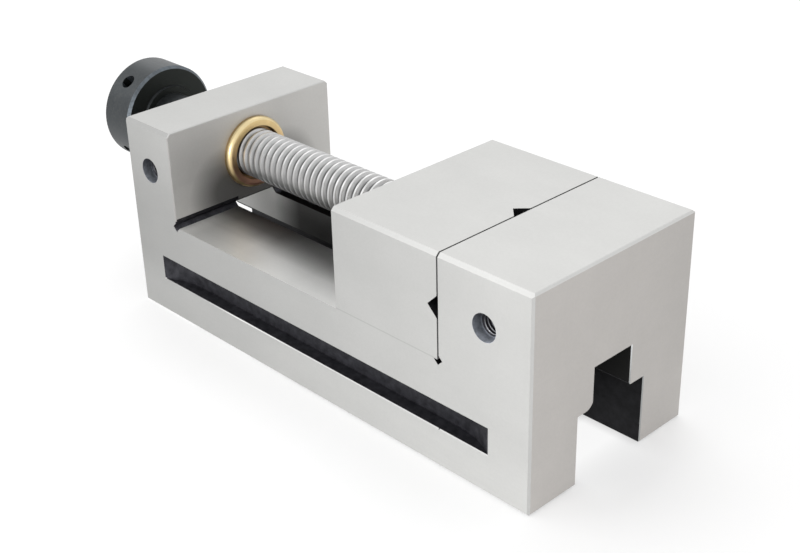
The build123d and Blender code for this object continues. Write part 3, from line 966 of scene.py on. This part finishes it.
def turned_brass(name):
    """Turned brass with painted light and shade: the rim pale above and darker below, the flat face pale
    above and lighter and redder at its foot, the barrel and the mouth shaded.
    """
    finish = Finish(name)
    up = finish.minus(finish.z, AXIS_Z)
    away = finish.off_spindle()
    rings = finish.add("CombineXYZ", away, finish.x).outputs[0]
    lines = finish.noise((6.0, 6.0, 1.0), 4.0, 0.6, place=rings)
    blotch = finish.noise((0.3, 0.3, 0.3), 4.0, 0.6)
    shade = finish.product(
        finish.spread(lines, *MIDDLE, 0.94, 1.04),
        finish.spread(blotch, *MIDDLE, 0.9, 1.04),
    )
    rim = finish.mix(finish.spread(up, *RIM_RISE), RIM_BRASS_SHADED, RIM_BRASS_LIT)
    rim = finish.mix(finish.below(finish.x, nut_hi.x - FLANGE_ROUND), rim, BARREL_BRASS_SHADED)
    flat = finish.mix(finish.spread(up, *FLAT_RISE), FLAT_BRASS_SHADED, FLAT_BRASS_LIT)
    flat = finish.mix(finish.spread(up, *FLAT_FOOT_RISE), FLAT_BRASS_FOOT_LIT, flat)
    base = finish.mix(finish.below(away, FLAT_EDGE_R), rim, flat)
    base = finish.mix(finish.below(away, BORE_EDGE_R), base, BORE_BRASS_SHADED)
    return finish.surface(
        base_color=finish.scaled(base, shade),
        metallic=1.0,
        roughness=finish.spread(blotch, *MIDDLE, 0.34, 0.42),
        normal=finish.bump(lines, BRASS_DEPTH),
    )


def black_oxide(name, colour, spot, roughness, worn_highlight=None, face=None):
    """Blackened steel, mottled and slightly rough. worn_highlight is the colour of rubbed bevels, part wear
    and part painted highlight, and face that of end faces, which on the knob is a darker painted shade.
    """
    finish = Finish(name)
    mottle = finish.noise((0.9, 0.9, 0.9), 5.0, 0.65)
    broad = finish.noise((0.12, 0.12, 0.12), 3.0, 0.5)
    share = finish.product(finish.spread(mottle, *ROUGH_SPOTS), finish.spread(broad, *MIDDLE, 0.5, 1.0))
    base = finish.mix(share, colour, spot)
    along = finish.size(finish.split(finish.normal)[0])
    if face:
        base = finish.mix(finish.above(along, ON_FACE), base, face)
    if worn_highlight:
        # Rubbed bevels, lighter: part wear, part painted highlight
        rubbed = finish.spread(finish.noise((0.6, 0.6, 0.6), 3.0, 0.6), 0.3, 0.6, 0.4, 1.0)
        bevel = finish.product(finish.above(along, HARDLY), finish.below(along, ON_FACE), rubbed)
        base = finish.mix(bevel, base, worn_highlight)
    return finish.surface(
        base_color=base,
        metallic=0.9,
        roughness=finish.spread(mottle, *MIDDLE, roughness - SMOOTHER, roughness + ROUGHER),
        normal=finish.bump(mottle, OXIDE_DEPTH),
    )


def paint(piece, material):
    """Gives a piece one material."""
    piece.data.materials.clear()
    piece.data.materials.append(material)


# The dressed object

KNOB_BLACK = rgb(0.052, 0.058, 0.062)
KNOB_SPOT = rgb(0.090, 0.094, 0.096)
# Rubbed knob bevels, lighter: part wear, part painted highlight
KNOB_WORN_HIGHLIGHT = rgb(0.14, 0.16, 0.18)
# Darker knob end faces: painted shade
KNOB_FACE_SHADE = rgb(0.034, 0.038, 0.036)

knob_oxide = black_oxide("black_oxide_knob", KNOB_BLACK, KNOB_SPOT, 0.42, worn_highlight=KNOB_WORN_HIGHLIGHT, face=KNOB_FACE_SHADE)
screw_oxide = black_oxide("black_oxide_screw", rgb(0.03, 0.03, 0.033), rgb(0.06, 0.06, 0.062), 0.38)
zinc = turned_metal("zinc_plate", rgb(0.60, 0.61, 0.63), rgb(0.48, 0.49, 0.50), 0.34)
dowel = turned_metal("polished_dowel", rgb(0.72, 0.72, 0.73), rgb(0.62, 0.62, 0.62), 0.16, 0.02)

for material, names in (
    (body_steel(), ("vise_body",)),
    (jaw_steel(), ("movable_jaw",)),
    (plate_steel(), ("keeper_plate",)),
    (knob_oxide, ("knob",)),
    (screw_oxide, ("keeper_screw_front", "keeper_screw_rear", "nut_set_screw", "knob_set_screw")),
    (zinc, ("keeper_washer_front", "keeper_washer_rear")),
    (dowel, ("retaining_pin_left", "retaining_pin_right", "thrust_button")),
):
    for name in names:
        paint(frame["nodes"][name], material)

SPINDLE_GREY = rgb(0.61, 0.61, 0.61)
SPINDLE_DULL = rgb(0.53, 0.53, 0.53)

spindle = make_spindle()
paint(spindle, turned_metal("turned_spindle", SPINDLE_GREY, SPINDLE_DULL, 0.34, threaded=True))
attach(spindle, "spindle")
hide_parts("lead_screw")

nut = make_nut()
paint(nut, turned_brass("turned_brass"))
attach(nut, "base")
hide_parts("spindle_nut")

tapped = tapped_steel("tapped_steel")
for name, mount in taps.items():
    sleeve = make_tapped_hole("tapped_" + name.removeprefix("side_thread_"), mount)
    paint(sleeve, tapped)
    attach(sleeve, "base")


# Studio

WHITE = rgb(1.0, 1.0, 1.0)
FLOOR_WHITE = rgb(0.93, 0.93, 0.93)
FLOOR_GLOW = 0.35
# Stronger glow on the floor seen through the front opening: painted light
MOUTH_GLOW = 0.92
WORLD_LEVEL = 0.95
FLOOR_SEGMENTS = 96

# In metres
FLOOR_R = 12.0
LAMP_AIM = Vector((0, 0, 0.04))

# In millimetres: the glow's fade into the painted shadow under the block, and the ramps of the painted light
# on the floor seen through the front opening
FOOT_FADE = 6.0
MOUTH_GLOW_REAR = (FIXED_FACE_X + 4, FIXED_FACE_X + 16, 0.0, 1.0)
MOUTH_GLOW_FRONT = (body_hi.x - 8, body_hi.x + 14, 1.0, 0.0)
MOUTH_GLOW_SIDE = (12.0, 20.0, 1.0, 0.0)

# Camera, as the photograph's block corners show it, in degrees, millimetres and pixels
CAMERA_AZIMUTH = 46.640
CAMERA_ELEVATION = 27.982
CAMERA_ROLL = -1.560
CAMERA_PLACE = Vector((68.918, -4.195, 543.804))
FOCAL_PX = 1386.15
PHOTO_WIDTH_PX = 800.0
SENSOR_WIDTH = 36.0

scene = bpy.context.scene
scene.view_settings.view_transform = "Standard"


def seen_rays(graph):
    """1 for rays that show the background: from the camera, in reflections and through glass."""
    path = graph.add("LightPath")
    rays = ("Is Camera Ray", "Is Glossy Ray", "Is Transmission Ray")
    return graph.largest(*[path.outputs[ray] for ray in rays])


def empty_graph(owner):
    """Cleared node tree of a material or a world."""
    owner.use_nodes = True
    owner.node_tree.nodes.clear()
    return Nodes(owner.node_tree)


def mix_to_output(graph, kind, share, first, second):
    """Mixes two shaders by share into the output node of a kind."""
    mixer = graph.add("MixShader", share, first.outputs[0], second.outputs[0])
    output = graph.add(kind)
    graph.plug(output.inputs["Surface"], mixer.outputs[0])


def floor_white():
    """Matt white that glows a little for seen rays; the glow stops under the block, leaving a painted shadow
    there, and rises to a painted pool of light on the floor seen through the front opening.
    """
    material = bpy.data.materials.new("floor_white")
    graph = empty_graph(material)
    x, y, _ = graph.split(graph.coordinates()[0])
    sideways = graph.size(y)
    lengthways = graph.size(graph.minus(x, (body_lo.x + FIXED_FACE_X) / 2))
    half_length, half_width = (FIXED_FACE_X - body_lo.x) / 2, body_hi.y
    # No glow under the block: painted shadow
    clear = graph.largest(
        graph.spread(lengthways, half_length - FOOT_FADE, half_length),
        graph.spread(sideways, half_width - FOOT_FADE, half_width),
    )
    # Stronger glow under the front opening: painted light
    mouth = graph.product(
        graph.spread(x, *MOUTH_GLOW_REAR),
        graph.spread(x, *MOUTH_GLOW_FRONT),
        graph.spread(sideways, *MOUTH_GLOW_SIDE),
    )
    glow = graph.spread(mouth, 0.0, 1.0, FLOOR_GLOW, MOUTH_GLOW)
    share = graph.product(seen_rays(graph), clear, glow)
    matt = graph.add("BsdfDiffuse", FLOOR_WHITE)
    light = graph.add("Emission", WHITE, 1.0)
    mix_to_output(graph, "OutputMaterial", share, matt, light)
    return material


def make_floor():
    """Pale floor that keeps a soft shadow."""
    bm = bmesh.new()
    bmesh.ops.create_circle(bm, cap_ends=True, radius=FLOOR_R, segments=FLOOR_SEGMENTS)
    mesh = bpy.data.meshes.new("floor")
    bm.to_mesh(mesh)
    bm.free()
    floor = bpy.data.objects.new("floor", mesh)
    scene.collection.objects.link(floor)
    paint(floor, floor_white())


def make_world():
    """White surroundings that light the vise at a plain level."""
    world = bpy.data.worlds.new("studio")
    scene.world = world
    graph = empty_graph(world)
    around = graph.add("Background", WHITE, WORLD_LEVEL)
    seen = graph.add("Background", WHITE, 1.0)
    mix_to_output(graph, "OutputWorld", seen_rays(graph), around, seen)


def add_softbox(name, direction, distance, size, power):
    """Area lamp at a distance in a direction from the vise, facing it."""
    data = bpy.data.lights.new(name, "AREA")
    data.shape = "SQUARE"
    data.size = size
    data.energy = power
    lamp = bpy.data.objects.new(name, data)
    towards = Vector(direction).normalized()
    lamp.location = LAMP_AIM + towards * distance
    lamp.rotation_mode = "QUATERNION"
    lamp.rotation_quaternion = towards.to_track_quat("Z", "Y")
    scene.collection.objects.link(lamp)


def make_camera():
    """Camera at the photograph's viewpoint, placed from the middle of the block's rear foot."""
    azimuth, elevation, roll = radians(CAMERA_AZIMUTH), radians(CAMERA_ELEVATION), radians(CAMERA_ROLL)
    back = Vector((sin(azimuth) * cos(elevation), -cos(azimuth) * cos(elevation), sin(elevation)))
    level = Vector((cos(azimuth), sin(azimuth), 0))
    above = back.cross(level)
    right = cos(roll) * level + sin(roll) * above
    up = -sin(roll) * level + cos(roll) * above
    spot = CAMERA_PLACE.x * right + CAMERA_PLACE.y * up + CAMERA_PLACE.z * back + Vector((body_lo.x, 0, 0))
    data = bpy.data.cameras.new("camera")
    data.sensor_width = SENSOR_WIDTH
    data.lens = FOCAL_PX / PHOTO_WIDTH_PX * SENSOR_WIDTH
    data.clip_start = 0.01
    data.clip_end = 100.0
    camera = bpy.data.objects.new("camera", data)
    turn = Matrix((right, up, back)).transposed().to_4x4()
    camera.matrix_world = Matrix.Translation(spot * MM) @ turn
    scene.collection.objects.link(camera)
    scene.camera = camera


make_floor()
make_world()
add_softbox("key", (-0.64, -0.47, 0.61), distance=1.6, size=1.0, power=3.0)
add_softbox("top", (-0.50, 0.55, 0.67), distance=1.8, size=1.6, power=8.0)
add_softbox("front", (0.12, -0.95, 0.20), distance=0.42, size=0.12, power=0.6)
make_camera()
